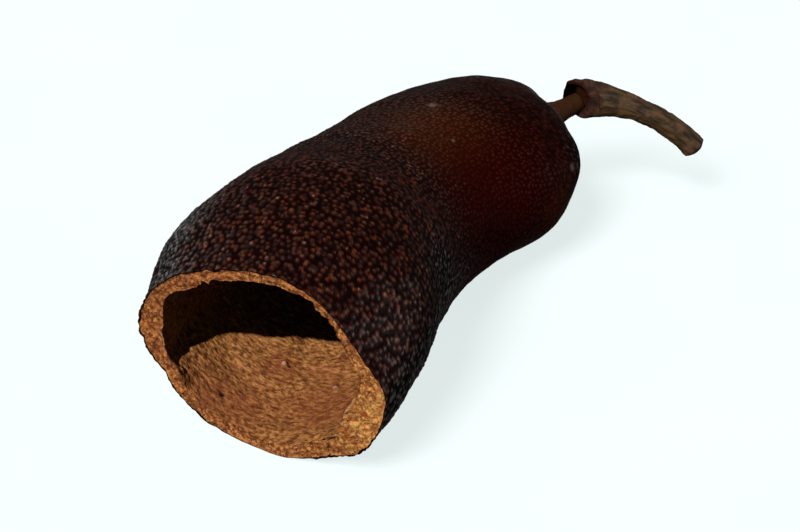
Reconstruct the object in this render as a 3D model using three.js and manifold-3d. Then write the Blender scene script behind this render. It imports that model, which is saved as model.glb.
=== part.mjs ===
// A jatoba seed pod, cut across and emptied, lying on its flat side, with its short pedicel and woody stalk.
// Millimetres, +Z up. The origin is the middle of the flat spot that the pod rests on.
// +Y runs along the pod from its cut mouth towards the stalk end.
import * as THREE from "three";
import { mergeVertices } from "three/addons/utils/BufferGeometryUtils.js";
import Module from "manifold-3d";

const wasm = await Module();
wasm.setup();

const { clamp, degToRad, lerp, smoothstep } = THREE.MathUtils;
const UP = new THREE.Vector3(0, 0, 1);

// The pod's spine: straight at the mouth, then swinging sideways towards the stalk
const POD_LENGTH = 127.3;
const BEND = degToRad(44);
const BEND_POWER = 2.5;
const SPINE_STEPS = 60;

// Left breadth, right breadth and half-thickness, at equal steps from the mouth to the stalk end
const GIRTHS = [
  [31.4, 32.2, 22.1],
  [33.7, 32.7, 25.3],
  [30.8, 29.6, 25.9],
  [28.4, 27.6, 24.2],
  [28.3, 26.9, 22.7],
  [28.5, 28.4, 21.6],
  [27.6, 28.8, 20.3],
  [28.0, 29.5, 18.5],
];

// The blunt stalk end, fuller on the outer side of the bend, where a lobe stands beside the pedicel
const DOME_START = 0.75;
const DOME_FALL = 2.5;
const DOME_BLUNT = 1.9;
const DOME_LAST = 0.995;
const STALK_END_HEIGHT = 27.6;
const SHOULDER_REACH = 1.6;
const SHOULDER_START = 0.6;
const LOBE_REACH = 2.5;
const LOBE_CROWD = 3.6;

// The underside: a gentle rocker, with a flat spot worn on it
const ROCKER = 1.1;
const ROCKER_MIDDLE = 0.45;
const FLAT_DEPTH = 0.7;
const REST_X = 2.7;
const REST_Y = 56;

// The saw cut leans back at the top and is not quite square to the spine, and the mouth is a little flattened
const CUT_LEAN = degToRad(4.5);
const CUT_YAW = degToRad(-8.2);
const CUT_REACH = 0.3;
const MOUTH_FLATTENING = 0.08;

// The mouth is no true oval: it is drawn in, but bulges above, below and at the seams, and dips beside them
const MOUTH_DRAWN_IN = 0.9;
const MOUTH_BUMPS = [
  { angle: degToRad(77), lift: 2.9, spread: degToRad(25) },
  { angle: degToRad(30), lift: -1.7, spread: degToRad(15) },
  { angle: degToRad(183), lift: 0.8, spread: degToRad(9) },
  { angle: degToRad(214), lift: -1.6, spread: degToRad(9) },
  { angle: degToRad(263), lift: 1.25, spread: degToRad(36) },
  { angle: degToRad(323), lift: 0.9, spread: degToRad(12) },
];
const MOUTH_BUMP_REACH = 0.2;

// The corky wall: thin above, thicker below, thickest along the two seams, and swollen above one of them
const WALL = 2.7;
const WALL_LEAN = 0.35;
const SEAMS = [
  { angle: degToRad(-16), extra: 5.6, spread: degToRad(32) },
  { angle: degToRad(181), extra: 3.7, spread: degToRad(23) },
  { angle: degToRad(131), extra: 1.6, spread: degToRad(15) },
];
const HOLLOW_END = 0.955;
const HOLLOW_OVERRUN = 8;
const HOLLOW_ROWS = 22;
const HOLLOW_COLUMNS = 54;

// The pebbled skin: one raised pimple on every third point of a triangular lattice, worn away underneath
const SKIN_ROWS = 48;
const SKIN_COLUMNS = 72;
const PIMPLE_STRIDE = 3;
const PIMPLE_HEIGHT = 0.4;
const PIMPLE_FADE = 0.1;
const WORN_BAND = 0.2;

// The pedicel that grows out of the stalk end, flaring at its root
const PEDICEL_LENGTH = 7.8;
const PEDICEL_RADIUS = 2.55;
const PEDICEL_FLARE = 2.2;
const PEDICEL_ROOT = 6;
const PEDICEL_HEADING = degToRad(40);
const PEDICEL_RISE = degToRad(13.5);
const PEDICEL_ROWS = 10;
const PEDICEL_SIDES = 18;

// The woody stalk: a knob with a socket that the pedicel stands in, then an arched twig
const STALK_LENGTH = 37.9;
const STALK_RADIUS = 2.9;
const STALK_HEADING = degToRad(78);
const STALK_RISE = degToRad(10.4);
const STALK_DROOP = degToRad(60.5);
const STALK_ROWS = 28;
const STALK_SIDES = 24;
const KNOB_RADIUS = 5.2;
const KNOB_MIDDLE = 3.4;
const KNOB_REACH = 10.2;
const KNOB_RAISE = 1.6;
const KNOB_ROUNDING = 2.4;
const KNOB_BLUNTNESS = 0.5;
const TIP_SWELL = 0.35;
const BARK_RIDGES = 5;
const BARK_RIDGE_HEIGHT = 0.14;
const BARK_TWIST = 14;
const SOCKET_DEPTH = 3;
const SOCKET_CLEARANCE = 0.6;
const SOCKET_SIDES = 18;
const JOINT_GAP = 0.3;

const LOOKS = {
  pod: { color: 0x2b1712, roughness: 0.45, metalness: 0 },
  stalk: { color: 0x6a4c34, roughness: 0.85, metalness: 0 },
};

// A direction from a compass heading (0 is +Y, 90 degrees is +X) and a rise above the horizon
function direction(heading, rise) {
  const level = Math.cos(rise);
  return new THREE.Vector3(Math.sin(heading) * level, Math.cos(heading) * level, Math.sin(rise));
}

const headingAt = (share) => BEND * share ** BEND_POWER;

// The spine's place in plan, by adding up short steps from the mouth
function spineAt(share) {
  const place = new THREE.Vector2();
  const length = (POD_LENGTH * share) / SPINE_STEPS;
  for (let step = 0; step < SPINE_STEPS; step++) {
    const heading = headingAt((share * (step + 0.5)) / SPINE_STEPS);
    place.x += Math.sin(heading) * length;
    place.y += Math.cos(heading) * length;
  }
  return place;
}

const girthCurve = new THREE.CatmullRomCurve3(
  GIRTHS.map((girth) => new THREE.Vector3(...girth)),
  false,
  "catmullrom",
);

// How far along the rounding towards an end a share of the length is: 0 on the body, 1 at the end
const roundingAt = (share, end) => clamp((share - DOME_START) / (end - DOME_START), 0, 1);

// A bell curve round the section: 1 at the place's own angle, and dying away over its spread
function nearness(angle, place) {
  const away = Math.atan2(Math.sin(angle - place.angle), Math.cos(angle - place.angle));
  return Math.exp(-((away / place.spread) ** 2));
}

// Wall thickness round the section, with the seams thinning out away from the mouth
function wallAt(share, angle) {
  const plain = WALL - WALL_LEAN * Math.sin(angle);
  return SEAMS.reduce((wall, seam) => wall + seam.extra * (1 - share) * nearness(angle, seam), plain);
}

// How far the skin stands out from an oval near the mouth
function bumpAt(share, angle) {
  const bump = MOUTH_BUMPS.reduce((sum, place) => sum + place.lift * nearness(angle, place), -MOUTH_DRAWN_IN);
  return bump * (1 - smoothstep(share, 0, MOUTH_BUMP_REACH));
}

// A point on the pod's section, before the section is set on the spine
function sectionPoint(share, angle, { lift, hollow }) {
  const girth = girthCurve.getPoint(share);
  const breadth = Math.cos(angle) < 0 ? girth.x : girth.y;
  const flattening = Math.sin(angle) > 0 ? MOUTH_FLATTENING * Math.max(0, 1 - share / CUT_REACH) : 0;
  const thickness = girth.z * (1 - flattening);
  const section = new THREE.Vector2(breadth * Math.cos(angle), thickness * Math.sin(angle));

  section.setLength(section.length() + bumpAt(share, angle) - (hollow ? wallAt(share, angle) : 0));
  const rounding = roundingAt(share, hollow ? HOLLOW_END : 1);
  section.multiplyScalar((1 - rounding ** DOME_FALL) ** (1 / DOME_BLUNT));
  return section.multiplyScalar(1 + lift / Math.max(section.length(), WALL));
}

// A point on the pod's skin, lifted off it if asked, or on the wall of its hollow
function podPoint(share, angle, { lift = 0, hollow = false } = {}) {
  const section = sectionPoint(share, angle, { lift, hollow });
  const underside = ROCKER * ((share - ROCKER_MIDDLE) / ROCKER_MIDDLE) ** 2;
  const middle = girthCurve.getPoint(share).z + underside;
  const height = lerp(middle, STALK_END_HEIGHT, roundingAt(share, 1) ** 2);

  const heading = headingAt(share);
  const spine = spineAt(share);
  const shoulder = Math.max(0, (share - SHOULDER_START) / (1 - SHOULDER_START));
  const lobe = LOBE_REACH * Math.sin(Math.PI * shoulder ** LOBE_CROWD) ** 2 * Math.cos(angle / 2) ** 4;
  const ahead = SHOULDER_REACH * Math.sin(Math.PI * shoulder) ** 2 * Math.cos(angle) + lobe;
  const x = spine.x + section.x * Math.cos(heading) + ahead * Math.sin(heading);
  const y = spine.y - section.x * Math.sin(heading) + ahead * Math.cos(heading);
  const z = height + section.y;

  const cut = Math.tan(CUT_LEAN) * (z - GIRTHS[0][2]) + Math.tan(CUT_YAW) * x;
  return new THREE.Vector3(x, y + cut * Math.max(0, 1 - share / CUT_REACH), z);
}

// Closes a stack of equal rings into one surface, with a fan of triangles at each end
function loft(rings) {
  const columns = rings[0].length;
  const middle = (ring) => ring.reduce((sum, p) => sum.add(p), new THREE.Vector3()).divideScalar(columns);
  const points = [...rings.flat(), middle(rings[0]), middle(rings.at(-1))];
  const first = points.length - 2;
  const last = points.length - 1;
  const top = (rings.length - 1) * columns;
  const faces = [];
  for (let column = 0; column < columns; column++) {
    const next = (column + 1) % columns;
    faces.push(first, column, next, last, top + next, top + column);
    for (let a = 0; a < top; a += columns) {
      const b = a + columns;
      faces.push(a + column, b + column, a + next, a + next, b + column, b + next);
    }
  }
  return new THREE.BufferGeometry().setFromPoints(points).setIndex(faces);
}

// A three.js geometry as a solid that can be joined and cut
function solid(geometry) {
  const bare = geometry.clone();
  bare.deleteAttribute("normal");
  bare.deleteAttribute("uv");
  const merged = mergeVertices(bare);
  return new wasm.Manifold(
    new wasm.Mesh({
      numProp: 3,
      vertProperties: new Float32Array(merged.attributes.position.array),
      triVerts: new Uint32Array(merged.index.array),
    }),
  );
}

// A joined or cut solid as a named three.js mesh
function meshOf(name, made) {
  const { vertProperties, triVerts } = made.getMesh();
  const geometry = new THREE.BufferGeometry();
  geometry.setAttribute("position", new THREE.BufferAttribute(vertProperties, 3));
  geometry.setIndex(new THREE.BufferAttribute(triVerts, 1));
  geometry.computeVertexNormals();
  const mesh = new THREE.Mesh(geometry, new THREE.MeshStandardMaterial(LOOKS[name]));
  mesh.name = name;
  return mesh;
}

// A ring of points square to a direction
function ringAround(centre, along, sides, radiusAt) {
  const side = new THREE.Vector3().crossVectors(along, UP).normalize();
  const up = new THREE.Vector3().crossVectors(side, along);
  return Array.from({ length: sides }, (_, i) => {
    const angle = (2 * Math.PI * i) / sides;
    const out = side.clone().multiplyScalar(Math.cos(angle)).addScaledVector(up, Math.sin(angle));
    return out.multiplyScalar(radiusAt(angle)).add(centre);
  });
}

// The pebbled outside, from the mouth to the stalk end
function skin() {
  const rings = [];
  for (let row = 0; row <= SKIN_ROWS; row++) {
    const share = (DOME_LAST * row) / SKIN_ROWS;
    const fade = Math.min(1, share / PIMPLE_FADE, (1 - share) / PIMPLE_FADE);
    rings.push(
      Array.from({ length: SKIN_COLUMNS }, (_, column) => {
        const angle = (2 * Math.PI * (column + row / 2)) / SKIN_COLUMNS;
        const raised = (column + 2 * row) % PIMPLE_STRIDE === 0 ? PIMPLE_HEIGHT : 0;
        const worn = smoothstep(1 + Math.sin(angle), 0, WORN_BAND);
        return podPoint(share, angle, { lift: raised * fade * worn });
      }),
    );
  }
  return loft(rings);
}

// The emptied inside, run out past the mouth so that the cut is clean
function hollow() {
  const rings = [];
  for (let row = 0; row <= HOLLOW_ROWS; row++) {
    const share = (DOME_LAST * HOLLOW_END * row) / HOLLOW_ROWS;
    rings.push(
      Array.from({ length: HOLLOW_COLUMNS }, (_, column) =>
        podPoint(share, (2 * Math.PI * column) / HOLLOW_COLUMNS, { hollow: true }),
      ),
    );
  }
  const outside = rings[0].map((p) => p.clone().setY(p.y - HOLLOW_OVERRUN));
  return loft([outside, ...rings]);
}

const pedicelWay = direction(PEDICEL_HEADING, PEDICEL_RISE);
const pedicelPoint = (along) => podPoint(1, 0).addScaledVector(pedicelWay, along);

function pedicel() {
  const rings = [];
  for (let row = 0; row <= PEDICEL_ROWS; row++) {
    const along = lerp(-PEDICEL_ROOT, PEDICEL_LENGTH, row / PEDICEL_ROWS);
    const flare = Math.exp(-Math.max(0, along + PEDICEL_FLARE) / PEDICEL_FLARE);
    const radius = () => PEDICEL_RADIUS * (1 + flare);
    rings.push(ringAround(pedicelPoint(along), pedicelWay, PEDICEL_SIDES, radius));
  }
  return loft(rings);
}

// A block under the resting plane, which takes off the lowest sliver of skin
function ground() {
  const size = 4 * POD_LENGTH;
  return new THREE.BoxGeometry(size, size, size).translate(0, 0, FLAT_DEPTH - size / 2);
}

// The stalk's thickness: a rounded knob that tapers to the twig, which swells a little at its tip
function stalkRadius(along, angle) {
  const knob = Math.exp(-(((along - KNOB_MIDDLE) / KNOB_REACH) ** 2));
  const tip = TIP_SWELL * (along / STALK_LENGTH) ** 4;
  const ridge = BARK_RIDGE_HEIGHT * Math.sin(BARK_RIDGES * angle + along / BARK_TWIST);
  const rounding = Math.sqrt(Math.min(1, KNOB_BLUNTNESS + along / KNOB_ROUNDING));
  return (lerp(STALK_RADIUS, KNOB_RADIUS, knob) + tip + ridge) * rounding;
}

function stalk() {
  const rings = [];
  const step = STALK_LENGTH / STALK_ROWS;
  const buried = SOCKET_DEPTH - JOINT_GAP;
  const centre = pedicelPoint(PEDICEL_LENGTH).addScaledVector(direction(STALK_HEADING, STALK_RISE), -buried);
  centre.addScaledVector(UP, KNOB_RAISE);
  for (let row = 0; row <= STALK_ROWS; row++) {
    const along = row * step;
    const way = direction(STALK_HEADING, STALK_RISE - STALK_DROOP * (along / STALK_LENGTH));
    rings.push(ringAround(centre, way, STALK_SIDES, (angle) => stalkRadius(along, angle)));
    centre.addScaledVector(way, step);
  }
  return loft(rings);
}

// The socket in the knob, in line with the pedicel that stands in it
function socket() {
  const reach = [PEDICEL_LENGTH - 2 * SOCKET_DEPTH, PEDICEL_LENGTH + JOINT_GAP];
  const radius = () => PEDICEL_RADIUS + SOCKET_CLEARANCE;
  return loft(reach.map((along) => ringAround(pedicelPoint(along), pedicelWay, SOCKET_SIDES, radius)));
}

const podSolid = solid(skin()).add(solid(pedicel())).subtract(solid(hollow())).subtract(solid(ground()));
const stalkSolid = solid(stalk()).subtract(solid(socket()));

const part = new THREE.Group();
for (const mesh of [meshOf("pod", podSolid), meshOf("stalk", stalkSolid)]) {
  mesh.position.set(-REST_X, -REST_Y, -FLAT_DEPTH);
  part.add(mesh);
}

export default part;
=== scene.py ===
# A jatoba seed pod, cut across and emptied: its pebbled rind, corky wall, pedicel and woody stalk
import math

import bpy
import numpy as np
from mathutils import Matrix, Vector, kdtree, noise


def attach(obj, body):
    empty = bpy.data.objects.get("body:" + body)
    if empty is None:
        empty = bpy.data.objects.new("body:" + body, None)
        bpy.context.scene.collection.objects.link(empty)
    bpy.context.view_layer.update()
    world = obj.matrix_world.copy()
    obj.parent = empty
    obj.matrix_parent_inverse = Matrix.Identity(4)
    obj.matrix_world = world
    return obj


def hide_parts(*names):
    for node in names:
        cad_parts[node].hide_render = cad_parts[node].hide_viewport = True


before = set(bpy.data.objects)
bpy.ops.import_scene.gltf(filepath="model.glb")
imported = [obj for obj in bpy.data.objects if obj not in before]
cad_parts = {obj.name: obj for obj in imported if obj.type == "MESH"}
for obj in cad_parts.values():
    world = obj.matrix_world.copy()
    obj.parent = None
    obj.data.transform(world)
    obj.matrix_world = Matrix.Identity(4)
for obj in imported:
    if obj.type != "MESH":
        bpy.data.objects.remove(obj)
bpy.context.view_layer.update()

MM = 0.001
TURN = 2 * math.pi
UP = np.array([0.0, 0.0, 1.0])
SEED = 41
random = np.random.default_rng(SEED)

# The pod's spine and girth, as in the part's source
POD_LENGTH = 127.3 * MM
BEND = math.radians(44)
BEND_POWER = 2.5
SPINE_STEPS = 600
GIRTHS = MM * np.array([
    [31.4, 32.2, 22.1],
    [33.7, 32.7, 25.3],
    [30.8, 29.6, 25.9],
    [28.4, 27.6, 24.2],
    [28.3, 26.9, 22.7],
    [28.5, 28.4, 21.6],
    [27.6, 28.8, 20.3],
    [28.0, 29.5, 18.5],
])
DOME_START = 0.75
DOME_FALL = 2.5
DOME_BLUNT = 1.9
STALK_END_HEIGHT = 27.6 * MM
SHOULDER_REACH = 1.6 * MM
SHOULDER_START = 0.6
LOBE_REACH = 2.5 * MM
LOBE_CROWD = 3.6
ROCKER = 1.1 * MM
ROCKER_MIDDLE = 0.45
REST = MM * np.array([2.7, 56.0, 0.7])

# The cut mouth, the wall and the hollow, as in the part's source
CUT_LEAN = math.radians(4.5)
CUT_YAW = math.radians(-8.2)
CUT_REACH = 0.3
MOUTH_FLATTENING = 0.08
MOUTH_DRAWN_IN = 0.9 * MM
MOUTH_BUMPS = [
    (math.radians(77), 2.9 * MM, math.radians(25)),
    (math.radians(30), -1.7 * MM, math.radians(15)),
    (math.radians(183), 0.8 * MM, math.radians(9)),
    (math.radians(214), -1.6 * MM, math.radians(9)),
    (math.radians(263), 1.25 * MM, math.radians(36)),
    (math.radians(323), 0.9 * MM, math.radians(12)),
]
MOUTH_BUMP_REACH = 0.2
WALL = 2.7 * MM
WALL_LEAN = 0.35 * MM
SEAMS = [
    (math.radians(-16), 5.6 * MM, math.radians(32)),
    (math.radians(181), 3.7 * MM, math.radians(23)),
    (math.radians(131), 1.6 * MM, math.radians(15)),
]
HOLLOW_END = 0.955
CUT_NORMAL = np.array([math.tan(CUT_YAW), -1.0, math.tan(CUT_LEAN)])
CUT_NORMAL /= np.linalg.norm(CUT_NORMAL)

# The pedicel and the stalk, as in the part's source but with a stalk a little longer and flatter
PEDICEL_LENGTH = 7.8 * MM
PEDICEL_RADIUS = 2.55 * MM
PEDICEL_FLARE = 2.2 * MM
PEDICEL_HEADING = math.radians(40)
PEDICEL_RISE = math.radians(13.5)
STALK_LENGTH = 39 * MM
STALK_RADIUS = 2.9 * MM
STALK_HEADING = math.radians(78)
STALK_RISE = math.radians(10.4)
STALK_DROOP = math.radians(59)
KNOB_RADIUS = 5.2 * MM
KNOB_MIDDLE = 3.4 * MM
KNOB_REACH = 10.2 * MM
KNOB_RAISE = 1.6 * MM
KNOB_ROUNDING = 2.4 * MM
TIP_SWELL = 0.35 * MM
SOCKET_DEPTH = 3 * MM
JOINT_GAP = 0.3 * MM

# The rind's mesh, with its columns closer together on top, and its hidden back under the skin
RIND_THICKNESS = 0.5 * MM
RIND_ROWS = 310
RIND_COLUMNS = 300
RIND_LAST = 0.996
TOP_CROWD = 0.35
BACK_ROWS = 24
BACK_COLUMNS = 75
BACK_DEPTH = 1.4 * MM
BACK_SPAN = (0.05, 0.96)
RUN_STEPS = 2000
ROUND_STEPS = 721
SHARP_ANGLE = math.radians(70)

# The corky wall's mesh: the hollow, with its columns closer together below, then the cut face
HOLLOW_ROWS = 236
HOLLOW_LAST = 0.998
HOLLOW_CROWD = 1.5
LOW_CROWD = -0.3
RIM_ROWS = 22
RIM_GAP = 0.05 * MM

# The photograph's view, with the target in the part's frame
VIEW_AZIMUTH = math.radians(21.62)
VIEW_ELEVATION = math.radians(32.82)
VIEW_DISTANCE = 420 * MM
VIEW_TARGET = MM * np.array([9.94, -5.19, 19.3])
SENSOR_WIDTH = 36
LENS = 80.44


def mix(a, b, share):
    return a + (b - a) * share


def smooth(value, low, high):
    """0 below low, 1 above high, and an even ramp between them."""
    ramp = np.clip((value - low) / (high - low), 0, 1)
    return ramp * ramp * (3 - 2 * ramp)


def direction(heading, rise):
    """A unit vector from a compass heading (0 is +Y, 90 degrees is +X) and a rise above the horizon."""
    level = math.cos(rise)
    return np.array([math.sin(heading) * level, math.cos(heading) * level, math.sin(rise)])


def girth_at(share):
    """Left breadth, right breadth and half-thickness, on a smooth curve through GIRTHS."""
    before, after = 2 * GIRTHS[0] - GIRTHS[1], 2 * GIRTHS[-1] - GIRTHS[-2]
    stations = np.vstack([before, GIRTHS, after])
    place = np.clip(share, 0, 1) * (len(GIRTHS) - 1)
    index = np.minimum(place.astype(int), len(GIRTHS) - 2)
    t = (place - index)[..., None]
    a, b, c, d = (stations[index + step] for step in range(4))
    return b + t / 2 * (c - a + t * (2 * a - 5 * b + 4 * c - d + t * (3 * (b - c) + d - a)))


def spine_at(share):
    """The spine's place in plan, by adding up short steps from the mouth."""
    ends = np.linspace(0, 1, SPINE_STEPS + 1)
    heading = BEND * ((ends[1:] + ends[:-1]) / 2) ** BEND_POWER
    step = POD_LENGTH / SPINE_STEPS
    x = np.concatenate([[0], np.cumsum(np.sin(heading) * step)])
    y = np.concatenate([[0], np.cumsum(np.cos(heading) * step)])
    return np.interp(share, ends, x), np.interp(share, ends, y)


def turned(angle):
    """An angle brought into half a turn either way."""
    return np.arctan2(np.sin(angle), np.cos(angle))


def nearness(angle, middle, spread):
    """A bell curve round the section: 1 at the middle angle, dying away over the spread."""
    return np.exp(-((turned(angle - middle) / spread) ** 2))


def wall_at(share, angle):
    wall = WALL - WALL_LEAN * np.sin(angle)
    for seam, extra, spread in SEAMS:
        wall = wall + extra * (1 - share) * nearness(angle, seam, spread)
    return wall


def bump_at(share, angle):
    """How far the skin stands out from an oval near the mouth."""
    bump = sum(lift * nearness(angle, middle, spread) for middle, lift, spread in MOUTH_BUMPS)
    return (bump - MOUTH_DRAWN_IN) * (1 - smooth(share, 0, MOUTH_BUMP_REACH))


def rounding_at(share, end):
    return np.clip((share - DOME_START) / (end - DOME_START), 0, 1)


def pod_point(share, angle, lift=0.0, hollow=False):
    """Points on the pod's skin, lifted off it if asked, or on the wall of its hollow."""
    share, angle = np.broadcast_arrays(np.asarray(share, float), np.asarray(angle, float))
    girth = girth_at(share)
    across, upward = np.cos(angle), np.sin(angle)
    flattening = np.where(upward > 0, MOUTH_FLATTENING * np.maximum(0, 1 - share / CUT_REACH), 0)
    x = np.where(across < 0, girth[..., 0], girth[..., 1]) * across
    z = girth[..., 2] * (1 - flattening) * upward
    radius = np.hypot(x, z)
    rounding = rounding_at(share, HOLLOW_END if hollow else 1)
    inset = wall_at(share, angle) if hollow else 0
    scale = 1 + (bump_at(share, angle) - inset) / radius
    scale = scale * (1 - rounding**DOME_FALL) ** (1 / DOME_BLUNT)
    scale = scale * (1 + lift / np.maximum(radius * scale, WALL))
    x, z = x * scale, z * scale

    underside = ROCKER * ((share - ROCKER_MIDDLE) / ROCKER_MIDDLE) ** 2
    height = mix(girth[..., 2] + underside, STALK_END_HEIGHT, rounding_at(share, 1) ** 2)
    heading = BEND * share**BEND_POWER
    spine_x, spine_y = spine_at(share)
    shoulder = np.maximum(0, (share - SHOULDER_START) / (1 - SHOULDER_START))
    lobe = LOBE_REACH * np.sin(math.pi * shoulder**LOBE_CROWD) ** 2 * np.cos(angle / 2) ** 4
    ahead = SHOULDER_REACH * np.sin(math.pi * shoulder) ** 2 * across + lobe
    part_x = spine_x + x * np.cos(heading) + ahead * np.sin(heading)
    part_y = spine_y - x * np.sin(heading) + ahead * np.cos(heading)
    part_z = height + z
    cut = math.tan(CUT_LEAN) * (part_z - GIRTHS[0, 2]) + math.tan(CUT_YAW) * part_x
    part_y = part_y + cut * np.maximum(0, 1 - share / CUT_REACH)
    return np.stack([part_x, part_y, part_z], -1) - REST


def normals_of(grid):
    """Unit normals of a grid of points whose columns close into rings."""
    along = np.gradient(grid, axis=0)
    around = np.roll(grid, -1, 1) - np.roll(grid, 1, 1)
    normal = np.cross(along, around)
    return normal / np.maximum(np.linalg.norm(normal, axis=-1, keepdims=True), 1e-12)


def run_along(last, hollow=False):
    """Shares of the length, and how far along the top of the skin each one is."""
    shares = np.linspace(0, last, RUN_STEPS)
    steps = np.linalg.norm(np.diff(pod_point(shares, TURN / 4, hollow=hollow), axis=0), axis=1)
    return shares, np.concatenate([[0], np.cumsum(steps)])


def even_shares(count, last, hollow=False, crowd=1.0):
    """Shares of the length at even steps along the skin, or closer together near the mouth."""
    shares, run = run_along(last, hollow)
    return np.interp(run[-1] * np.linspace(0, 1, count) ** crowd, run, shares)


def ring_angles(count, crowd=0.0):
    """Angles round a ring, closer together on top if asked."""
    even = np.arange(count) * TURN / count
    return even + crowd * np.cos(even)


def grain(points, size, turn):
    """Smooth noise from -1 to 1 with lumps of about that size."""
    flat = points.reshape(-1, 3) / size + turn
    return np.array([noise.noise(Vector(p)) for p in flat]).reshape(points.shape[:-1])


def lumps(points, layers):
    """Layers of smooth noise added up, from the height, lump size and turn of each."""
    return sum(height * grain(points, size, turn) for height, size, turn in layers)


def ring_lumps(angle, layers):
    """Layers of smooth noise round a ring, with the lump sizes in radians."""
    return lumps(np.stack([np.cos(angle), np.sin(angle), np.zeros_like(angle)], -1), layers)


def crumbs(points, size):
    """How near each point is to the middle of a crumb of about that size: 1 there, 0 between crumbs."""
    flat = points.reshape(-1, 3) / size
    found = [noise.voronoi(Vector(p))[0] for p in flat]
    return np.clip([f[1] - f[0] for f in found], 0, 1).reshape(points.shape[:-1])


def spots(points, places, hollow=False):
    """Bell curves added up, from the share of the length, degrees, radius and height of each."""
    total = np.zeros(points.shape[:-1])
    for share, degrees, radius, height in places:
        middle = pod_point(share, math.radians(degrees), hollow=hollow)
        total = total + height * np.exp(-np.sum((points - middle) ** 2, -1) / radius**2)
    return total


def ring_around(centre, way, radii):
    """A ring of points square to a direction."""
    angles = ring_angles(len(radii))
    side = np.cross(way, UP)
    side /= np.linalg.norm(side)
    up = np.cross(side, way)
    out = np.outer(np.cos(angles), side) + np.outer(np.sin(angles), up)
    return centre + out * np.asarray(radii)[:, None]


def bridge(first, second):
    """Faces between two rings of vertex numbers, where one ring's count divides the other's."""
    a, b = len(first), len(second)
    few = min(a, b)
    faces = []
    for i in range(few):
        lower = [first[k % a] for k in range(i * a // few, (i + 1) * a // few + 1)]
        upper = [second[k % b] for k in range(i * b // few, (i + 1) * b // few + 1)]
        faces.append((*lower[:1], *upper, *lower[:0:-1]))
    return faces


def loft(name, rings):
    """A closed object through rings of points in order, with a face over each end."""
    starts = np.cumsum([0] + [len(ring) for ring in rings])
    numbers = [list(range(start, start + len(ring))) for start, ring in zip(starts, rings)]
    faces = [tuple(numbers[0]), tuple(reversed(numbers[-1]))]
    for first, second in zip(numbers, numbers[1:]):
        faces += bridge(first, second)
    mesh = bpy.data.meshes.new(name)
    mesh.from_pydata(np.vstack(rings).tolist(), [], faces)
    mesh.shade_smooth()
    mesh.set_sharp_from_angle(angle=SHARP_ANGLE)
    piece = bpy.data.objects.new(name, mesh)
    bpy.context.collection.objects.link(piece)
    return piece


def paint(piece, name, values):
    """Keeps one number for each point of a piece, for its material to read."""
    layer = piece.data.attributes.new(name, "FLOAT", "POINT")
    layer.data.foreach_set("value", np.ascontiguousarray(values, dtype=np.float32))


# The mouth's ragged edge: how the saw cut strays, how its rim is chipped, and how far in that shows
STRAY = [(0.35 * MM, 0.5, 0), (0.21 * MM, 0.11, 7)]
CHIPS = [(0.35 * MM, 0.08, 6), (0.28 * MM, 0.24, 9)]
LOW_CHIP = 0.35 * MM
RAGGED_REACH = 0.04

# How much of the rind's thickness shows at the cut, where cork crumbs cover it in places
EDGE_COVER = [(1, 0.07, 4), (0.6, 0.3, 8)]
EDGE_COVER_SPAN = (-0.1, 0.6)
EDGE_SHARE = (0.08, 0.8)


def ragged_at(share):
    return np.maximum(0, 1 - share / RAGGED_REACH)


def strayed(points, share, angle):
    moved = points.copy()
    moved[..., 1] += ring_lumps(angle, STRAY) * ragged_at(share)
    return moved


def chipped(share, angle):
    return (ring_lumps(angle, CHIPS) - LOW_CHIP * np.minimum(0, np.sin(angle))) * ragged_at(share)


def edge_depth(angle):
    shows = smooth(ring_lumps(angle, EDGE_COVER), *EDGE_COVER_SPAN)
    return RIND_THICKNESS * mix(*EDGE_SHARE, shows)


# The pebbles at the mouth and at the stalk: their spacing and height, and the shares where each changes
PEBBLE_SPACING = (1.52 * MM, 1.15 * MM)
PEBBLE_NARROWING = (0.05, 0.75)
PEBBLE_HEIGHT = (0.34 * MM, 0.05 * MM)
PEBBLE_SINKING = (0.1, 0.85)

# One pebble in spacings: how far it is shaken, how far off the next row is, its size, foot and crown
PEBBLE_JITTER = 0.33
PEBBLE_ROW = 0.87
PEBBLE_SIZES = (0.75, 1.15)
PEBBLE_FOOT = 0.58
PEBBLE_CROWN = 0.14
FEWEST_IN_ROW = 6


def pebble_spacing(share):
    return mix(*PEBBLE_SPACING, smooth(share, *PEBBLE_NARROWING))


def pebble_places():
    """The pebbles' middles: shaken rows of even steps round the pod."""
    shares, run = run_along(RIND_LAST)
    angles = np.linspace(0, TURN, ROUND_STEPS)
    places = []
    along = 0.0
    while along < run[-1]:
        share = np.interp(along, run, shares)
        spacing = pebble_spacing(share)
        ring = pod_point(share, angles)
        round_run = np.concatenate([[0], np.cumsum(np.linalg.norm(np.diff(ring, axis=0), axis=1))])
        count = max(FEWEST_IN_ROW, int(round_run[-1] / spacing))
        shake = random.uniform(-PEBBLE_JITTER, PEBBLE_JITTER, (2, count))
        steps = (np.arange(count) + random.uniform(0, 1) + shake[0]) % count
        at = np.interp(steps * round_run[-1] / count, round_run, angles)
        places.append(np.stack([np.interp(along + spacing * shake[1], run, shares), at], -1))
        along += spacing * PEBBLE_ROW
    return np.vstack(places)


def pebble_cells(points):
    """Each point's pebble, the number of pebbles, and how far off its middle the point is, in spacings."""
    places = pebble_places()
    middles = pod_point(places[:, 0], places[:, 1])
    tree = kdtree.KDTree(len(middles))
    for number, middle in enumerate(middles):
        tree.insert(middle, number)
    tree.balance()
    nearest = [tree.find(point) for point in points.reshape(-1, 3)]
    owner = np.array([found[1] for found in nearest]).reshape(points.shape[:-1])
    away = np.array([found[2] for found in nearest]).reshape(points.shape[:-1])
    return owner, len(places), away / pebble_spacing(places[owner, 0])


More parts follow.
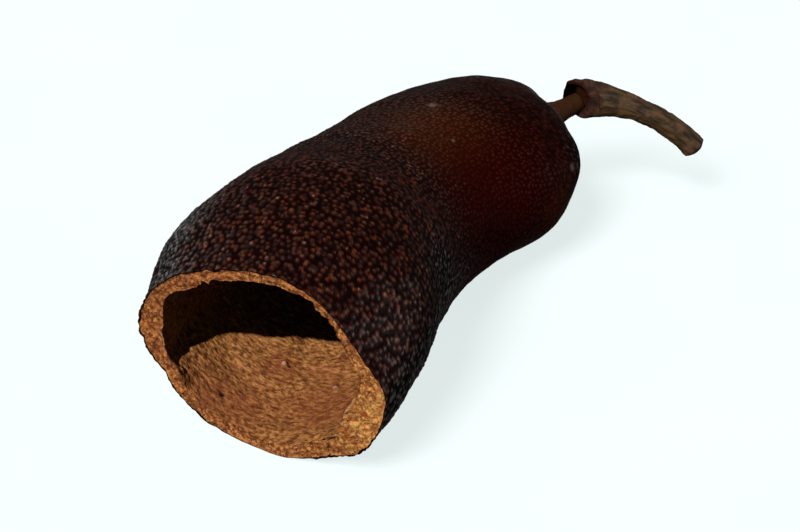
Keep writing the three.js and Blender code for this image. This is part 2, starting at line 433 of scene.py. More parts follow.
def unrolled(skin):
    """How far along and round the skin each point lies, measured from the top of the mouth."""
    along = np.cumsum(np.linalg.norm(np.diff(skin, axis=0, prepend=skin[:1]), axis=-1), axis=0)
    steps = np.linalg.norm(np.roll(skin, -1, 1) - skin, axis=-1)
    around = np.cumsum(steps, axis=1) - steps
    around = around - np.take_along_axis(around, skin[..., 2].argmax(1)[:, None], 1)
    whole = steps.sum(1, keepdims=True)
    return along, around - whole * np.round(around / whole)


# Scars on the rind: share of the length, degrees, radius, and how pale or, below zero, dark each one is
SCARS = [
    (0.690, 92, 1.5 * MM, 1.0),
    (0.050, 100, 1.6 * MM, 0.35),
    (0.881, 15, 1.3 * MM, 0.9),
    (0.905, 11, 1.0 * MM, 0.7),
    (0.893, 14, 0.5 * MM, -2.0),
    (0.047, 6, 2.0 * MM, 0.4),
    (0.608, 63, 0.6 * MM, 1.0),
    (0.097, 37, 1.5 * MM, 0.35),
]
SCAR_DEPTH = 0.3 * MM
SCAR_CALM = 0.8

# Bulges and, below zero, dents: share of the length, degrees, radius and height
DENTS = [
    (0.972, 80, 6 * MM, -1.1 * MM),
    (0.875, 103, 8 * MM, 0.45 * MM),
    (0.985, 0, 5 * MM, -0.9 * MM),
    (0.925, 41, 5 * MM, -0.4 * MM),
    (0.930, 6, 6 * MM, 0.5 * MM),
    (0.793, 340, 7 * MM, 0.9 * MM),
    (0.66, 104, 10 * MM, -0.45 * MM),
    (0.566, 133, 7 * MM, -0.4 * MM),
    (0.43, 128, 6 * MM, 0.5 * MM),
    (0.27, 0, 10 * MM, -0.5 * MM),
    (0.06, 337, 8 * MM, 0.5 * MM),
]
WAVES = [(0.4 * MM, 11 * MM, 0), (0.2 * MM, 4.4 * MM, 3)]

# Coloured places: share of the length, degrees, radius and strength, and bands of painted grey sheen along
# the sides
# The first warm place is a warm tint of the rind, the second a painted pool of bounce light along the lower
# right edge
WARM_AND_BOUNCE_PLACES = [(0.605, 68, 16 * MM, 1), (0.80, 345, 8 * MM, 1)]
MAROON_PLACES = [(0.60, 17, 24 * MM, 1)]
# The grey places are a painted sheen
PAINTED_SHEEN_PLACES = [(0.285, 10, 9 * MM, 1), (0.93, 20, 6 * MM, 1)]
PAINTED_SHEEN_BANDS = [(math.radians(154), math.radians(27)), (math.radians(-5), math.radians(14))]
PAINTED_SHEEN_BAND_SPAN = (0.7, 0.35)

# Where the relief rises from nothing: at the cut, at the stalk end and above the worn underside
CUT_CALM = (0, 0.05)
STALK_END_CALM = (1, 0.97)
WORN_CALM = (0, 0.12)
STEM_SPAN = (0.97, 0.997)


def make_rind():
    """The pebbled skin, its thin cut edge, its hidden back and the pedicel."""
    shares = even_shares(RIND_ROWS, RIND_LAST)[:, None]
    angles = ring_angles(RIND_COLUMNS, TOP_CROWD)[None, :]
    base = pod_point(shares, angles)
    owner, count, away = pebble_cells(base)
    size = random.uniform(*PEBBLE_SIZES, count)[owner]
    tone = random.uniform(0, 1, count)[owner]
    scar = spots(base, SCARS).clip(0, 1)
    worn = smooth(1 + np.sin(angles), *WORN_CALM)
    calm = smooth(shares, *STALK_END_CALM) * worn * (1 - SCAR_CALM * scar)
    dome = np.maximum(0, 1 - (away / (PEBBLE_FOOT * size)) ** 2)
    pebbles = mix(*PEBBLE_HEIGHT, smooth(shares, *PEBBLE_SINKING)) * size * dome * calm
    uneven = lumps(base, WAVES) * calm + spots(base, DENTS) * worn - SCAR_DEPTH * scar
    height = pebbles + uneven * smooth(shares, *CUT_CALM) + chipped(shares, angles)
    skin = strayed(base + normals_of(base) * height[..., None], shares, angles)
    skin[..., 2] = np.maximum(skin[..., 2], 0)

    back_angles = ring_angles(BACK_COLUMNS, TOP_CROWD)
    back = [pod_point(s, back_angles, -BACK_DEPTH) for s in np.linspace(*BACK_SPAN[::-1], BACK_ROWS)]
    depth = chipped(0.0, angles[0]) - edge_depth(angles[0])
    edge = strayed(pod_point(0.0, angles[0], depth), 0.0, angles[0])
    edge[:, 2] = np.maximum(edge[:, 2], 0)
    pedicel = pedicel_rings(skin[-1, :: RIND_COLUMNS // BACK_COLUMNS])
    rind = loft("pod_rind", [*back, edge, *skin, *pedicel])

    along, around = unrolled(base)
    # Bands of painted grey sheen along the sides
    painted_sheen_bands = sum(nearness(angles, *band) for band in PAINTED_SHEEN_BANDS) * smooth(shares, *PAINTED_SHEEN_BAND_SPAN)
    on_skin_and_pedicel = {
        "skin_along": (along, 0),
        "skin_around": (around, 0),
        "bead": (smooth(away / size, PEBBLE_FOOT, PEBBLE_CROWN), 0.3),
        "tone": (tone, 0.5),
        "far": (np.broadcast_to(shares, away.shape), 1),
        "stem": (smooth(shares, *STEM_SPAN) * np.ones_like(away), 1),
        "scar": (scar, 0),
        # A warm tint, and on the lower right edge painted bounce light
        "warm_and_bounce": (spots(base, WARM_AND_BOUNCE_PLACES), 0),
        "maroon": (spots(base, MAROON_PLACES), 0),
        # Painted grey sheen, at places and in bands along the sides
        "painted_sheen": (np.maximum(spots(base, PAINTED_SHEEN_PLACES), painted_sheen_bands), 0),
    }
    hidden = np.zeros(BACK_ROWS * BACK_COLUMNS + RIND_COLUMNS)
    stem = np.ones(len(pedicel) * BACK_COLUMNS)
    for name, (on_skin, on_pedicel) in on_skin_and_pedicel.items():
        paint(rind, name, np.concatenate([hidden, on_skin.ravel(), stem * on_pedicel]))
    return rind


# The pedicel's mesh: where it leaves the skin, how it spreads there, and how far it goes into the knob's cup
PEDICEL_ROWS = 28
PEDICEL_START = 0.3 * MM
PEDICEL_BLEND = 3 * MM
PEDICEL_SPREAD = 0.7
PEDICEL_SEAT = 1.2 * MM
PEDICEL_RIDGES = [(0.15 * MM, 1.6 * MM, 0)]


def pedicel_rings(root):
    """Rings from the stalk end's last ring out along the pedicel to its tip."""
    way = direction(PEDICEL_HEADING, PEDICEL_RISE)
    foot = pod_point(1.0, 0.0)
    rings = []
    for along in np.linspace(PEDICEL_START, PEDICEL_LENGTH + PEDICEL_SEAT, PEDICEL_ROWS):
        radius = PEDICEL_RADIUS * (1 + PEDICEL_SPREAD * math.exp(-along / PEDICEL_FLARE))
        plain = ring_around(foot + way * along, way, np.full(len(root), radius))
        ridged = plain + lumps(plain, PEDICEL_RIDGES)[:, None] * UP
        rings.append(mix(root + way * along, ridged, smooth(along, 0, PEDICEL_BLEND)))
    return rings


# The hollow's nubs and, below zero, pits: share of the length, degrees, radius and height
NUBS = [
    (0.196, 258, 0.8 * MM, 1.1 * MM),
    (0.198, 260.5, 0.5 * MM, -0.7 * MM),
    (0.166, 288.5, 0.8 * MM, 0.6 * MM),
    (0.180, 288, 0.7 * MM, -1.1 * MM),
    (0.052, 243, 0.7 * MM, -0.9 * MM),
    (0.12, 215, 0.8 * MM, 0.5 * MM),
]
RUDDY_PLACES = [(0.19, 257, 5 * MM, 1), (0.11, 291, 10 * MM, 1), (0.04, 246, 10 * MM, 1)]

# The hollow's fibres, which lie on a round tube of this radius, its lumps, and where both begin
FIBRE_RING = 18 * MM
FIBRE_RELIEF = [(0.16 * MM, 0.9 * MM, 0)]
LINING_RELIEF = [(0.3 * MM, 1.5 * MM, 9), (0.5 * MM, 6 * MM, 0)]
LINING_CALM = (0, 0.02)

# The torn stretches of the mouth's inner edge: middle and half-width in degrees
TEARS = [(60, 17), (121, 9)]
TEAR_DEPTH = 1.5 * MM
TEAR_REACH = 1.2 * MM
BITE_MIDDLE = 0.5
BITES = [(1, 0.055, 3), (0.5, 0.13, 5)]
TEETH = [(0.25 * MM, 0.07, 11), (0.2 * MM, 0.035, 13)]

# How far the hollow's left wall hangs over behind the mouth, where that fades, and the recess under it
OVERHANG = 2.3 * MM
OVERHANG_UPPER = np.radians([145, 170])
OVERHANG_LOWER = np.radians([212, 196])
OVERHANG_START = (0, 0.09)
OVERHANG_END = (0.45, 0.25)
RECESS = 2.1 * MM
RECESS_MIDDLE = math.radians(209)
RECESS_SPREAD = math.radians(9)
RECESS_START = (0, 0.035)
RECESS_END = (0.2, 0.07)


def torn_at(angle):
    """How much of the wall is torn away at the mouth's inner edge."""
    places = sum(np.exp(-((turned(angle - math.radians(a)) / math.radians(w)) ** 4)) for a, w in TEARS)
    bites = np.clip(BITE_MIDDLE + ring_lumps(angle, BITES), 0, 1)
    return TEAR_DEPTH * places * bites + ring_lumps(angle, TEETH)


def overhang_at(share, angle):
    """How far the hollow's wall stands in over the room, or is set back in the recess."""
    overhang = OVERHANG * smooth(angle, *OVERHANG_UPPER) * smooth(angle, *OVERHANG_LOWER)
    overhang = overhang * smooth(share, *OVERHANG_START) * smooth(share, *OVERHANG_END)
    recess = RECESS * nearness(angle, RECESS_MIDDLE, RECESS_SPREAD)
    return overhang - recess * smooth(share, *RECESS_START) * smooth(share, *RECESS_END)


def make_lining(angles):
    """The hollow's wall from its far end to the mouth, and what is painted on it."""
    last = HOLLOW_END * HOLLOW_LAST
    shares = even_shares(HOLLOW_ROWS, last, hollow=True, crowd=HOLLOW_CROWD)[::-1, None]
    tear = torn_at(angles) * np.exp(-shares * POD_LENGTH / TEAR_REACH)
    base = strayed(pod_point(shares, angles, tear, hollow=True), shares, angles)
    ring = FIBRE_RING * np.stack([np.cos(angles), np.sin(angles)])[:, None, :] * np.ones_like(shares)
    fibre = np.stack([shares * POD_LENGTH + np.zeros_like(ring[0]), ring[0], ring[1]], -1)
    relief = (lumps(fibre, FIBRE_RELIEF) + lumps(base, LINING_RELIEF)) * smooth(shares, *LINING_CALM)
    relief = relief + overhang_at(shares, angles) + spots(base, NUBS, hollow=True)
    raised = [(*place, 1) for *place, height in NUBS if height > 0]
    sunken = [(*place, 1) for *place, height in NUBS if height < 0]
    painted = {
        "pale": np.minimum(1, spots(base, raised, hollow=True)),
        "dark": spots(base, sunken, hollow=True),
        "ruddy": spots(base, RUDDY_PLACES, hollow=True),
        "fibre_along": fibre[..., 0],
        "fibre_across": fibre[..., 1],
        "fibre_up": fibre[..., 2],
    }
    return base + normals_of(base) * relief[..., None], painted


# The cut face's crumbs and lumps, where they fade at its outer edge, and its bright side at the first seam
CRUMB_SIZE = 1.3 * MM
CRUMB_HEIGHT = 0.6 * MM
CRUMB_MIDDLE = 0.5
RIM_RELIEF = [(0.3 * MM, 0.7 * MM, 0), (0.35 * MM, 2.5 * MM, 0)]
RIM_CALM = (1.05, 0.85)
BRIGHT_SPREAD = math.radians(38)

# The crack across the cut face
CRACK_INNER = math.radians(309)
CRACK_OUTER = math.radians(304)
CRACK_WIDTH = math.radians(0.8)
CRACK_SIDE = math.radians(4.5)
CRACK_DEPTH = 0.9 * MM
CRACK_JAG = [(math.radians(1.6), 1.2 * MM, 5)]

# The pale lip along the lower inner edge, with gaps, and the groove behind it, in shares of the cut face
LOWER_SIDE = (-0.25, 0.15)
LIP_SPAN = (0.12, 0.03)
LIP_HEIGHT = 0.25 * MM
LIP_LEAST = 0.25
LIP_GAPS = [(1, 0.15, 2)]
LIP_GAP_SPAN = (-0.1, 0.4)
GROOVE_PLACE = 0.14
GROOVE_WIDTH = 0.06
GROOVE_DEPTH = 0.3 * MM
GROOVE_MOST = 0.5


def make_cork():
    """The hollow's wall, the cut face, and the hidden back against the rind."""
    angles = ring_angles(RIND_COLUMNS, LOW_CROWD)
    lining, on_lining = make_lining(angles)
    depth = chipped(0.0, angles) - edge_depth(angles) - RIM_GAP
    outer = strayed(pod_point(0.0, angles, depth), 0.0, angles)
    outer[:, 2] = np.maximum(outer[:, 2], RIM_GAP)
    steps = np.linspace(0, 1, RIM_ROWS + 1)[1:, None]
    rim = mix(lining[-1][None], outer[None], steps[..., None])
    crumb = crumbs(rim, CRUMB_SIZE)
    crack_at = mix(CRACK_INNER, CRACK_OUTER, steps) - lumps(rim, CRACK_JAG)
    crack = nearness(angles, crack_at, CRACK_WIDTH)
    below = smooth(-np.sin(angles), *LOWER_SIDE)
    kept = smooth(ring_lumps(angles, LIP_GAPS), *LIP_GAP_SPAN)
    lip = below * smooth(steps, *LIP_SPAN) * mix(LIP_LEAST, 1, kept)
    open_at = np.maximum(GROOVE_MOST * kept, nearness(angles, CRACK_INNER + CRACK_SIDE, CRACK_SIDE))
    groove = below * np.exp(-(((steps - GROOVE_PLACE) / GROOVE_WIDTH) ** 2)) * open_at
    rough = (CRUMB_HEIGHT * (crumb - CRUMB_MIDDLE) + lumps(rim, RIM_RELIEF)) * smooth(steps, *RIM_CALM)
    rough = rough - CRACK_DEPTH * crack + LIP_HEIGHT * lip - GROOVE_DEPTH * groove
    rim = rim + CUT_NORMAL * rough[..., None]

    back_angles = ring_angles(BACK_COLUMNS, LOW_CROWD)
    back_depth = -BACK_DEPTH - RIM_GAP
    back = [pod_point(s, back_angles, back_depth) for s in np.linspace(*BACK_SPAN, BACK_ROWS)]
    cork = loft("pod_cork", [*lining, *rim, *back])
    on_rim = {
        "rim": np.ones_like(crumb),
        "crumb": crumb,
        "bright": nearness(angles, SEAMS[0][0], BRIGHT_SPREAD) * np.ones_like(steps),
        "lip": lip,
        "dark": np.maximum(crack, groove),
    }
    bare_lining, bare_rim = np.zeros(lining.shape[:-1]), np.zeros(crumb.shape)
    hidden = np.zeros(BACK_ROWS * BACK_COLUMNS)
    for name in {**on_lining, **on_rim}:
        inside, face = on_lining.get(name, bare_lining), on_rim.get(name, bare_rim)
        paint(cork, name, np.concatenate([inside.ravel(), face.ravel(), hidden]))
    return cork


# The bark's mesh, its ridges and lumps, and the rounding of the stalk's tip
STALK_ROWS = 190
STALK_SIDES = 84
STALK_TRIM = 3.2 * MM
BARK_RIDGE_LENGTH = 9 * MM
BARK_RIDGES = [(0.18 * MM, 0.3, 0)]
BARK_RELIEF = [(0.2 * MM, 3.2 * MM, 0), (0.12 * MM, 1.1 * MM, 0)]
KNOB_RELIEF = [(0.6 * MM, 2.4 * MM, 4)]
TIP_FLAT = 0.3 * MM
TIP_ROUNDING = 1.6 * MM
TIP_SWELL_POWER = 4

# The cup at the knob's end, which faces along the pedicel; its profile is shares of its radius and depth
CUP_BLUNTNESS = 0.8
CUP_HEADING = math.radians(20)
CUP_RISE = math.radians(-8)
CUP_TURN = 11 * MM
CUP_SHARE = 0.77
CUP_ASIDE = 0.2 * MM
CUP_DEPTH = 1.3 * MM
CUP_PROFILE = [(0.4, 1), (0.8, 1), (0.92, 0.5), (1, 0)]
CUP_WOBBLE = [(0.1, 0.5, 3)]

# How black the painted shadow in the cup and on the knob's left side is, and between which places, in radii
# to the right
CUP_BLACKNESS = (1, 0.3)
CUP_BLACK_SPAN = (-0.7, 0.1)
KNOB_BLACKNESS = 0.85
KNOB_BLACK_SPAN = (-0.6, -1.2)


def stalk_radius(along):
    knob = math.exp(-(((along - KNOB_MIDDLE) / KNOB_REACH) ** 2))
    rounding = math.sqrt(min(1, CUP_BLUNTNESS + (along - STALK_TRIM) / KNOB_ROUNDING))
    blunt = min(1, math.sqrt((STALK_LENGTH - along + TIP_FLAT) / TIP_ROUNDING))
    tip = TIP_SWELL * (along / STALK_LENGTH) ** TIP_SWELL_POWER
    return (mix(STALK_RADIUS, KNOB_RADIUS, knob) + tip) * rounding * blunt


def stalk_rise(along):
    return STALK_RISE - STALK_DROOP * along / STALK_LENGTH


def stalk_facing(along):
    """The way a ring of the stalk faces: along the cup first, then along the stalk."""
    turn = smooth(along, STALK_TRIM, CUP_TURN)
    return direction(mix(CUP_HEADING, STALK_HEADING, turn), mix(CUP_RISE, stalk_rise(along), turn))


def stalk_start():
    tip = pod_point(1.0, 0.0) + PEDICEL_LENGTH * direction(PEDICEL_HEADING, PEDICEL_RISE)
    along = STALK_TRIM - SOCKET_DEPTH + JOINT_GAP
    return tip + along * direction(STALK_HEADING, STALK_RISE) + KNOB_RAISE * UP


def cup_rings():
    """Rings from the floor of the knob's cup up to its lip."""
    way = stalk_facing(STALK_TRIM)
    middle = stalk_start() - CUP_ASIDE * np.cross(way, UP)
    wobble = 1 + ring_lumps(ring_angles(STALK_SIDES), CUP_WOBBLE)
    radii = CUP_SHARE * stalk_radius(STALK_TRIM) * wobble
    return [ring_around(middle + CUP_DEPTH * deep * way, way, radii * share) for share, deep in CUP_PROFILE]


def cup_shade(cup, rings):
    """How black the knob's painted shadow is: in the cup, most of all on its left, and on the lip's left
    side.
    """
    rightward = np.cross(stalk_facing(STALK_TRIM), UP) / (CUP_SHARE * stalk_radius(STALK_TRIM))
    in_cup = (np.vstack(cup) - stalk_start()) @ rightward
    outside = (np.vstack(rings) - stalk_start()) @ rightward
    black_cup = mix(*CUP_BLACKNESS, smooth(in_cup, *CUP_BLACK_SPAN))
    return np.concatenate([black_cup, KNOB_BLACKNESS * smooth(outside, *KNOB_BLACK_SPAN)])


def make_stalk():
    """The arched twig with its knob, and the cup in the knob that the pedicel stands in, with shadow painted
    dark in it and on the knob's left side.
    """
    centre = stalk_start()
    places, step = np.linspace(STALK_TRIM, STALK_LENGTH, STALK_ROWS, retstep=True)
    angles = ring_angles(STALK_SIDES)
    cup, rings = cup_rings(), []
    for along in places:
        far = np.full(STALK_SIDES, along / BARK_RIDGE_LENGTH)
        plain = ring_around(centre, stalk_facing(along), np.full(STALK_SIDES, stalk_radius(along)))
        bark = lumps(np.stack([np.cos(angles), np.sin(angles), far], -1), BARK_RIDGES)
        bark = bark + lumps(plain, BARK_RELIEF)
        bark = bark + lumps(plain, KNOB_RELIEF) * smooth(along, KNOB_REACH, STALK_TRIM)
        rings.append(ring_around(centre, stalk_facing(along), stalk_radius(along) + bark))
        centre = centre + direction(STALK_HEADING, stalk_rise(along)) * step
    stalk = loft("stalk_bark", [*cup, *rings])
    lengths = np.concatenate([np.full(len(cup), STALK_TRIM), places])
    painted = {
        "along": np.repeat(lengths, STALK_SIDES),
        "across": np.tile(STALK_RADIUS * np.cos(angles), len(lengths)),
        "upward": np.tile(STALK_RADIUS * np.sin(angles), len(lengths)),
        # How much shadow is painted on the knob, in the cup and on its left side
        "socket": cup_shade(cup, rings),
    }
    for name, values in painted.items():
        paint(stalk, name, values)
    return stalk


def tint(red, green, blue):
    """A colour from screen values of 0 to 255."""
    screen = np.array([red, green, blue]) / 255
    linear = np.where(screen <= 0.04045, screen / 12.92, ((screen + 0.055) / 1.055) ** 2.4)
    return (*linear.tolist(), 1.0)


class Look:
    """A procedural material, written as nested calls that each give a socket."""

    def __init__(self, name):
        self.material = bpy.data.materials.new(name)
        self.material.use_nodes = True
        self.nodes = self.material.node_tree.nodes
        self.links = self.material.node_tree.links
        self.shader = self.nodes["Principled BSDF"]
        self.place = self.nodes.new("ShaderNodeTexCoord").outputs["Object"]

    def feed(self, socket, value):
        if isinstance(value, bpy.types.NodeSocket):
            self.links.new(value, socket)
        else:
            socket.default_value = value

    def add(self, kind, inputs, output=0, **settings):
        node = self.nodes.new(kind)
        for key, value in settings.items():
            setattr(node, key, value)
        for key, value in inputs.items():
            self.feed(node.inputs[key], value)
        return node.outputs[output]

    def painted(self, name):
        return self.add("ShaderNodeAttribute", {}, "Fac", attribute_name=name)

    def joined(self, *names):
        """A place made of up to three painted numbers."""
        axes = {axis: self.painted(name) for axis, name in enumerate(names)}
        return self.add("ShaderNodeCombineXYZ", axes)

    def drawn_out(self, place, times):
        """A place whose first axis is drawn out, so that what is drawn there is that many times longer."""
        return self.add("ShaderNodeMapping", {"Vector": place, "Scale": (1 / times, 1, 1)})

    def noise(self, size, detail=2.0, place=None):
        inputs = {"Vector": place or self.place, "Scale": 1 / size, "Detail": detail}
        return self.add("ShaderNodeTexNoise", inputs)

    def cells(self, size, place, output):
        inputs = {"Vector": place, "Scale": 1 / size, "Randomness": 0.75}
        return self.add("ShaderNodeTexVoronoi", inputs, output, voronoi_dimensions="2D")

    def ramp(self, value, low, high, start=0.0, end=1.0):
        """A smooth way from start to end, as a value goes from low to high."""
        inputs = {"Value": value, "From Min": low, "From Max": high, "To Min": start, "To Max": end}
        return self.add("ShaderNodeMapRange", inputs, interpolation_type="SMOOTHSTEP")

    def times(self, a, b):
        return self.add("ShaderNodeMath", {0: a, 1: b}, operation="MULTIPLY")

    def between(self, share, a, b):
        """A number part of the way from one number to another."""
        return self.add("ShaderNodeMix", {0: share, 2: a, 3: b})

    def blend(self, share, a, b):
        """A colour part of the way from one colour to another."""
        return self.add("ShaderNodeMix", {0: share, 6: a, 7: b}, 2, data_type="RGBA")

    def over(self, colour, shade, value, low, high, most=1.0):
        """A shade laid over a colour, from nothing to the most as a value goes from low to high."""
        return self.blend(self.ramp(value, low, high, 0.0, most), colour, shade)

    def bump(self, height, depth, **under):
        return self.add("ShaderNodeBump", {"Height": height, "Distance": depth, **under})

    def finish(self, **sockets):
        for key, value in sockets.items():
            self.feed(self.shader.inputs[key.replace("_", " ")], value)
        return self.material


# The fine pebbles that the rind's material draws towards the stalk, where the mesh is too coarse for them
FINE_PEBBLE = 1.26 * MM
FINE_HEIGHT = 0.1 * MM
FINE_FOOT = 0.52
FINE_CROWN = 0.12
FINE_START = (0.3, 0.44)

# How many times longer than broad the streaks of the painted grey sheen and the streaks of the bark are
SHEEN_STREAK_STRETCH = 5
BARK_STREAK = 5

# The rind's colours; a pair is the darker and the lighter end of a range
VALLEY = (tint(11, 2, 2), tint(23, 7, 5))
FAR_VALLEY = tint(12, 4, 3)
FLANK = (tint(30, 8, 5), tint(54, 18, 10))
EMBER = tint(112, 46, 18)
# The crowns are their own colour with a painted highlight, and the palest crowns are painted glints
CROWN_AND_HIGHLIGHT = (tint(32, 13, 9), tint(86, 50, 34))
TAN_CROWN = tint(116, 70, 36)
PAINTED_GLINT = tint(168, 144, 128)
FAR_CROWN = tint(88, 50, 33)
# A painted grey sheen, and the dark between its streaks
PAINTED_SHEEN_GREYS = (tint(10, 8, 7), tint(112, 104, 98))
PAINTED_SHEEN_GAP = tint(4, 3, 3)
# A warm tint, which on the lower right edge is painted bounce light
WARM_AND_BOUNCE = tint(116, 58, 18)
MAROON = tint(44, 2, 2)
SCAR = (tint(70, 52, 40), tint(128, 110, 92))
PEDICEL_WOOD = (tint(38, 21, 11), tint(78, 48, 28))


def rind_look():
    look = Look("pebbled_rind")
    names = ("bead", "tone", "far", "stem", "scar", "painted_sheen", "warm_and_bounce", "maroon")
    bead, tone, far, stem, scar, painted_sheen, warm_and_bounce, maroon = (look.painted(name) for name in names)
    skin = look.joined("skin_along", "skin_around")

    # Towards the stalk the mesh's pebbles give way to fine ones, and those to blotches
    fine = look.ramp(far, *FINE_START)
    fine_bead = look.ramp(look.cells(FINE_PEBBLE, skin, "Distance"), FINE_FOOT, FINE_CROWN)
    fine_tone = look.add("ShaderNodeSeparateColor", {0: look.cells(FINE_PEBBLE, skin, "Color")})
    blotch = look.ramp(look.noise(1.5 * MM, 3), 0.3, 0.7, 0.05, 0.6)
    tone = look.between(fine, tone, fine_tone)
    bead = look.between(fine, bead, fine_bead)
    bead = look.between(look.ramp(far, 0.66, 0.88, 0, 0.7), bead, blotch)

    # The valleys between pebbles, the pebbles' flanks, and their lighter crowns, partly their own colour and
    # partly a painted highlight, with a few painted glints
    valley = look.blend(look.noise(6 * MM), *VALLEY)
    valley = look.over(valley, FAR_VALLEY, far, 0.45, 0.75, 0.8)
    flank = look.blend(look.ramp(tone, 0.1, 0.9), *FLANK)
    ember = look.ramp(look.noise(2.6 * MM), 0.58, 0.72, 0, 0.7)
    flank = look.blend(look.times(ember, look.ramp(far, 0.45, 0.7, 1, 0.25)), flank, EMBER)
    crown = look.blend(look.ramp(tone, 0.05, 0.9), *CROWN_AND_HIGHLIGHT)
    crown = look.over(crown, TAN_CROWN, look.noise(3.4 * MM), 0.5, 0.66, 0.65)
    crown = look.over(crown, PAINTED_GLINT, tone, 0.94, 0.99, 0.5)
    crown = look.over(crown, FAR_CROWN, far, 0.36, 0.7, 0.8)
    colour = look.over(valley, flank, bead, 0.05, 0.6)
    colour = look.over(colour, crown, bead, 0.62, 1, 0.8)

    # Painted grey sheen in streaks, the warm places, one of them painted bounce light, the maroon place, the
    # scars and the pedicel
    grey = look.blend(look.ramp(bead, 0.3, 0.85), *PAINTED_SHEEN_GREYS)
    sheen_streak = look.noise(0.9 * MM, place=look.drawn_out(skin, SHEEN_STREAK_STRETCH))
    grey = look.blend(look.ramp(sheen_streak, 0.42, 0.6), PAINTED_SHEEN_GAP, grey)
    colour = look.over(colour, grey, painted_sheen, 0.1, 1, 0.85)
    colour = look.over(colour, WARM_AND_BOUNCE, warm_and_bounce, 0, 1, 0.2)
    colour = look.over(colour, MAROON, maroon, 0, 1, 0.84)
    colour = look.over(colour, look.blend(look.noise(0.8 * MM), *SCAR), scar, 0.15, 1, 0.85)
    colour = look.blend(stem, colour, look.blend(look.noise(1.2 * MM, 3), *PEDICEL_WOOD))

    # The shine and the fine relief, which both fade in the maroon place and towards the stalk
    even = look.ramp(maroon, 0.15, 0.75, 1, 0.15)
    shine = look.times(look.ramp(bead, 0.2, 1, 0.06, 0.42), look.ramp(far, 0.35, 0.6, 1, 0.35))
    fine = look.times(fine, look.ramp(far, 0.64, 0.86, 1, 0.1))
    pebbles = look.bump(look.times(look.times(fine, even), fine_bead), FINE_HEIGHT)
    return look.finish(
        Base_Color=colour,
        Roughness=look.ramp(look.noise(1 * MM), 0.3, 0.7, 0.3, 0.5),
        Specular_IOR_Level=look.times(shine, even),
        Sheen_Weight=0.03,
        Sheen_Roughness=0.3,
        Normal=look.bump(look.noise(0.4 * MM, 3), 0.05 * MM, Normal=pebbles),
    )


# The cut face's colours; the first pairs go from its dull to its bright side
CORK_DARK = (tint(118, 58, 20), tint(192, 100, 36))
CORK_LIGHT = (tint(220, 138, 70), tint(255, 188, 102))
CRUMB_GAP = tint(108, 46, 16)
CORK_PORE = tint(92, 36, 12)
CORK_FLECK = tint(240, 184, 122)
CORK_LIP = tint(220, 170, 124)
CORK_CRACK = tint(40, 16, 7)


def cork_look():
    look = Look("cut_cork")
    crumb, lip, dark, bright = (look.painted(name) for name in ("crumb", "lip", "dark", "bright"))
    colour = look.blend(bright, *CORK_DARK)
    colour = look.over(colour, look.blend(bright, *CORK_LIGHT), look.noise(1.1 * MM, 4), 0.34, 0.66)
    colour = look.over(colour, CRUMB_GAP, crumb, 0.25, 0.02, 0.6)
    colour = look.over(colour, CORK_PORE, look.noise(0.8 * MM), 0.42, 0.32, 0.85)
    colour = look.over(colour, CORK_FLECK, look.noise(0.6 * MM, 1), 0.62, 0.72, 0.6)
    colour = look.over(colour, CORK_LIP, lip, 0.2, 0.9, 0.85)
    colour = look.over(colour, CORK_CRACK, dark, 0.3, 0.9)
    return look.finish(
        Base_Color=colour,
        Roughness=0.8,
        Specular_IOR_Level=0.3,
        Normal=look.bump(look.noise(0.5 * MM, 3), 0.5 * MM),
    )


# The hollow's colours
FIBRE = (tint(112, 58, 22), tint(220, 148, 82))
LINING_PORE = tint(104, 50, 18)
LINING_FLECK = tint(226, 164, 100)
LINING_PATCH = tint(166, 94, 52)
RUDDY = tint(142, 66, 38)
NUB = tint(214, 158, 116)
PIT = tint(42, 18, 9)


def lining_look():
    look = Look("hollow_lining")
    pale, dark, ruddy = (look.painted(name) for name in ("pale", "dark", "ruddy"))
    fibre = look.joined("fibre_along", "fibre_across", "fibre_up")
    colour = look.blend(look.ramp(look.noise(1.0 * MM, 3, fibre), 0.3, 0.7), *FIBRE)
    colour = look.over(colour, LINING_PORE, look.noise(1.3 * MM), 0.44, 0.32, 0.6)
    colour = look.over(colour, LINING_FLECK, look.noise(1.0 * MM, 1), 0.6, 0.74, 0.5)
    colour = look.over(colour, LINING_PATCH, look.noise(9 * MM), 0.5, 0.75, 0.5)
    colour = look.over(colour, RUDDY, ruddy, 0, 1, 0.5)
    colour = look.over(colour, NUB, pale, 0.3, 0.8)
    colour = look.over(colour, PIT, dark, 0.2, 0.7)
    return look.finish(
        Base_Color=colour,
        Roughness=0.65,
        Specular_IOR_Level=0.3,
        Normal=look.bump(look.noise(0.7 * MM, 3, fibre), 0.5 * MM),
    )


# The bark's colours, and how far along the stalk the knob's brown gives way to them
BARK = (tint(38, 27, 15), tint(94, 70, 43))
BARK_YELLOW = tint(100, 70, 28)
BARK_SHADE = tint(42, 29, 17)
BARK_PINK = tint(112, 74, 54)
KNOB = (tint(32, 17, 10), tint(78, 40, 27))
# Painted shadow in the knob's cup and on its left side, from dim brown to black
CUP_SHADOW_BROWN = tint(52, 25, 17)
CUP_SHADOW_BLACK = tint(5, 3, 2)
KNOB_EDGE = (12 * MM, 8 * MM)
KNOB_EDGE_STRAY = 5 * MM


